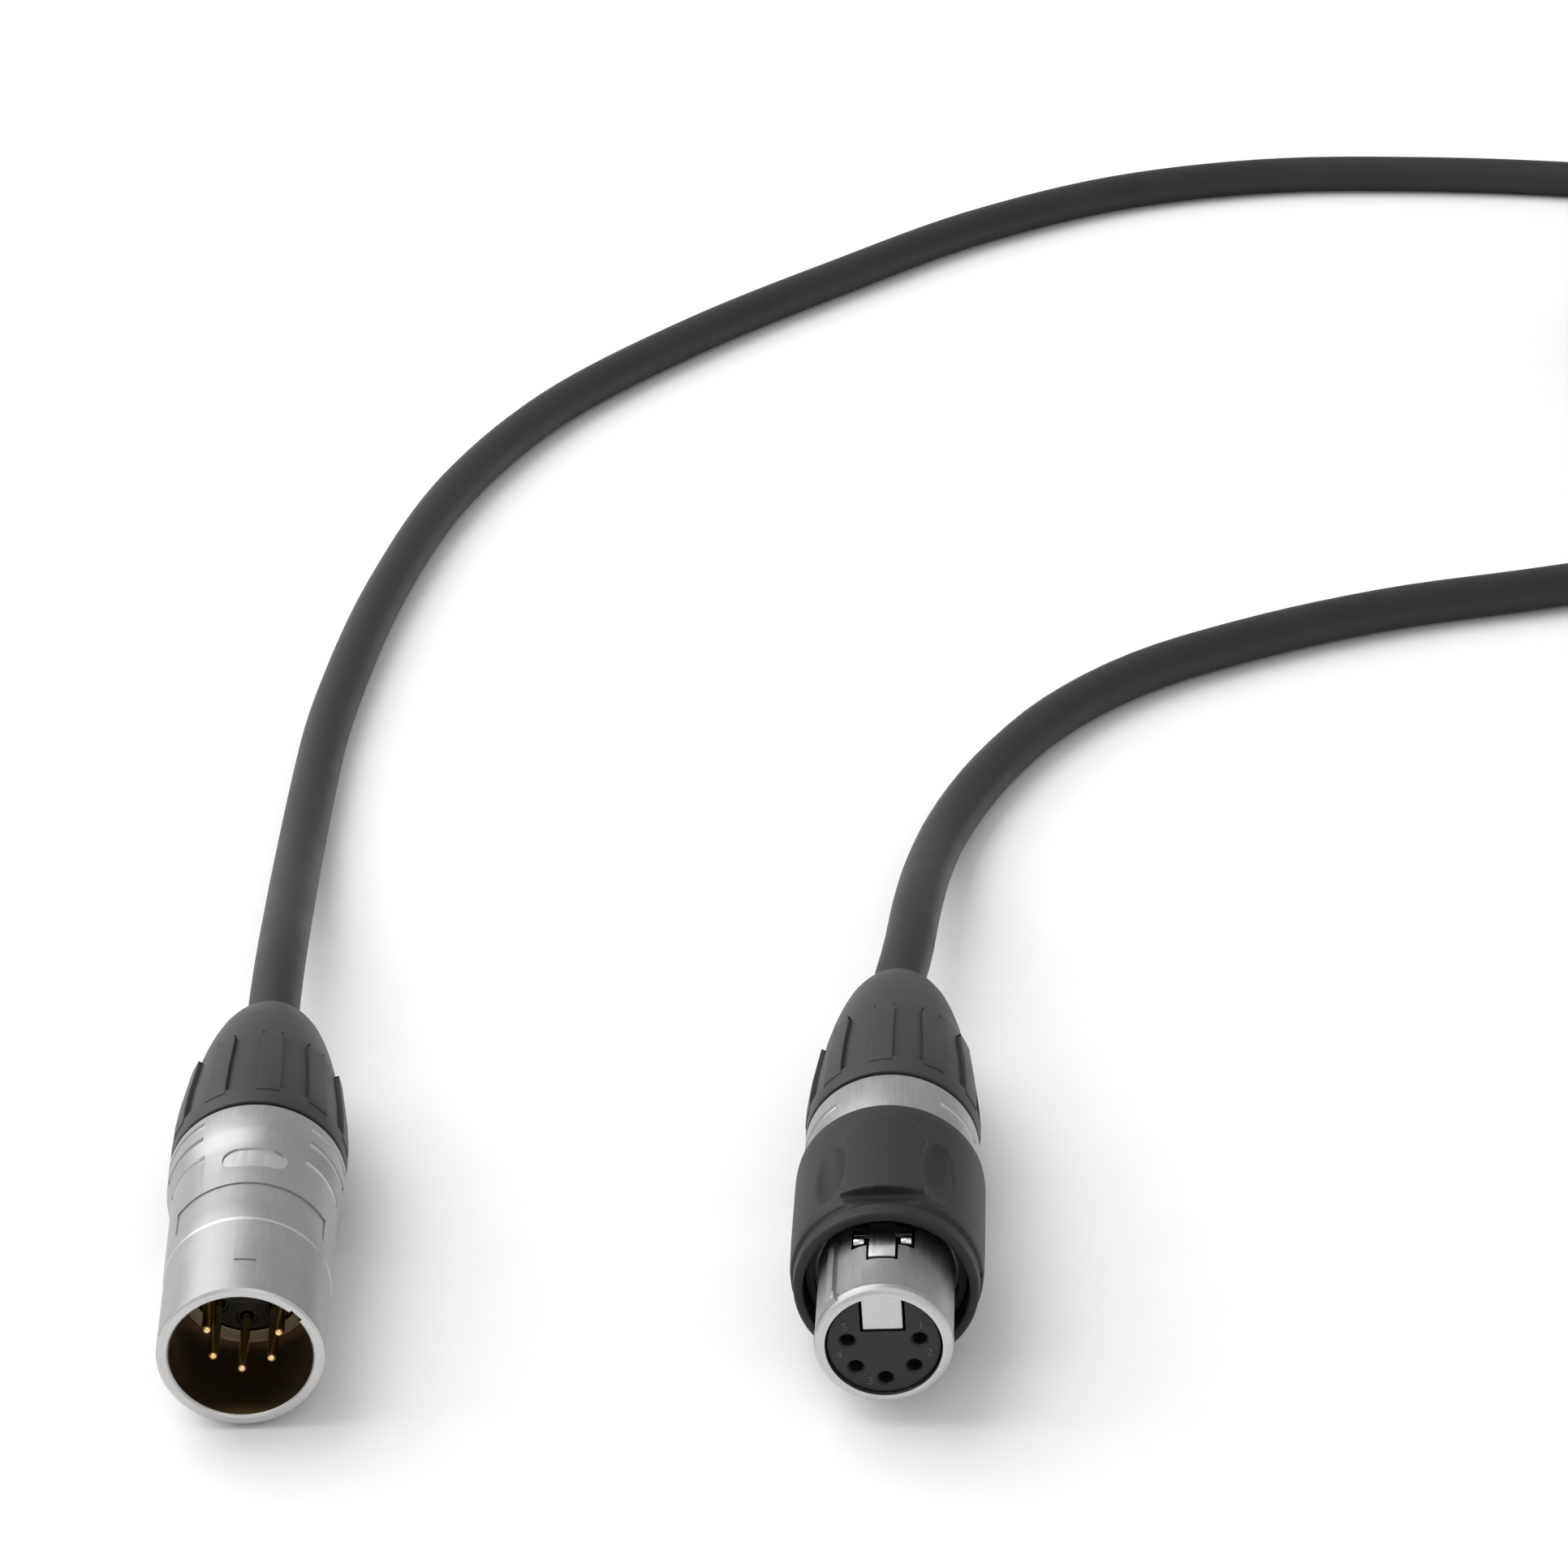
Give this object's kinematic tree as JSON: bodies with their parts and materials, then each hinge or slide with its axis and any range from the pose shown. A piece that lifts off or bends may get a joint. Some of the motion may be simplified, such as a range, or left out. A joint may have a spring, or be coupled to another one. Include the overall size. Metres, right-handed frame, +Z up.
{
  "type": "xlr cable",
  "caption": "XLR cable with a male and a female in-line connector, ribbed screw-on boots, a press latch under a rubber sleeve, and its spare length wound in a tied coil.",
  "frame": {"origin": "on the ground, under the middle of the bounding box of the pair of connectors", "axes": "+Z up; -Y is the side both mating faces look towards; +X runs from the male connector to the female one"},
  "size_m": [0.3397, 0.4069, 0.0228],
  "materials": {
    "satin_nickel": "satin nickel plate over die-cast metal, lightly brushed",
    "gold_plate": "gold plate over brass, polished",
    "spring_steel": "bright stamped spring steel",
    "insert_plastic": "black glass-filled plastic, fine matt",
    "clamp_plastic": "ivory moulded plastic",
    "boot_rubber": "charcoal soft-touch elastomer",
    "sleeve_rubber": "black rubber with a fine grain",
    "seal_rubber": "black soft rubber",
    "cable_jacket": "dark grey matt flexible cable jacket",
    "strap_fabric": "black woven hook-and-loop strap",
    "wire_screen": "twisted bare copper screen",
    "wire_white": "white core insulation",
    "wire_red": "red core insulation",
    "wire_blue": "blue core insulation",
    "wire_green": "green core insulation"
  },
  "bodies": {
    "root": {"cable_coil": "cable_jacket", "coil_strap_1": "strap_fabric", "coil_strap_2": "strap_fabric", "female_cable_clamp": "clamp_plastic", "female_cable_run": "cable_jacket", "female_cable_seal": "seal_rubber", "female_contact_1": "gold_plate", "female_contact_2": "gold_plate", "female_contact_3": "gold_plate", "female_contact_4": "gold_plate", "female_contact_5": "gold_plate", "female_front_seal": "seal_rubber", "female_insert": "insert_plastic", "female_retainer": "spring_steel", "female_shell": "satin_nickel", "female_wire_1": "wire_screen", "female_wire_2": "wire_white", "female_wire_3": "wire_red", "female_wire_4": "wire_blue", "female_wire_5": "wire_green", "latch_spring": "spring_steel", "male_cable_clamp": "clamp_plastic", "male_cable_run": "cable_jacket", "male_cable_seal": "seal_rubber", "male_insert": "insert_plastic", "male_pin_1": "gold_plate", "male_pin_2": "gold_plate", "male_pin_3": "gold_plate", "male_pin_4": "gold_plate", "male_pin_5": "gold_plate", "male_retainer": "spring_steel", "male_shell": "satin_nickel", "male_wire_1": "wire_screen", "male_wire_2": "wire_white", "male_wire_3": "wire_red", "male_wire_4": "wire_blue", "male_wire_5": "wire_green", "rubber_sleeve": "sleeve_rubber"},
    "latch": {"latch_lever": "spring_steel"},
    "male_nut_washer": {"male_washer": "seal_rubber"},
    "male_nut": {"male_boot": "boot_rubber"},
    "female_nut_washer": {"female_washer": "seal_rubber"},
    "female_nut": {"female_boot": "boot_rubber"}
  },
  "joints": [
    {"name": "latch_press", "type": "hinge", "parent": "root", "child": "latch", "pos_m": [0.03708, -0.00688, 0.01913], "axis": [0.9971, -0.0453, 0.061], "range_deg": [0, 2.5], "stiffness_Nm_per_rad": 0.02, "springref_deg": -8.59, "deforming": ["latch_spring"]},
    {"name": "male_nut_travel", "type": "slide", "parent": "root", "child": "male_nut_washer", "axis": [-0.0515, 0.9986, 0.0157], "range_m": [0, 0.004]},
    {"name": "male_nut_turn", "type": "hinge", "parent": "male_nut_washer", "child": "male_nut", "pos_m": [-0.03798, -0.0025, 0.0106], "axis": [-0.0515, 0.9986, 0.0157], "range_deg": [0, 1440]},
    {"name": "female_nut_travel", "type": "slide", "parent": "root", "child": "female_nut_washer", "axis": [0.0454, 0.999, 0], "range_m": [0, 0.004]},
    {"name": "female_nut_turn", "type": "hinge", "parent": "female_nut_washer", "child": "female_nut", "pos_m": [0.03802, 0.00309, 0.01125], "axis": [0.0454, 0.999, 0], "range_deg": [0, 1440]}
  ],
  "couplings": [
    {"joint": "male_nut_travel", "follows": "male_nut_turn", "m_per_rad": 0.00015915},
    {"joint": "female_nut_travel", "follows": "female_nut_turn", "m_per_rad": 0.00015915}
  ]
}
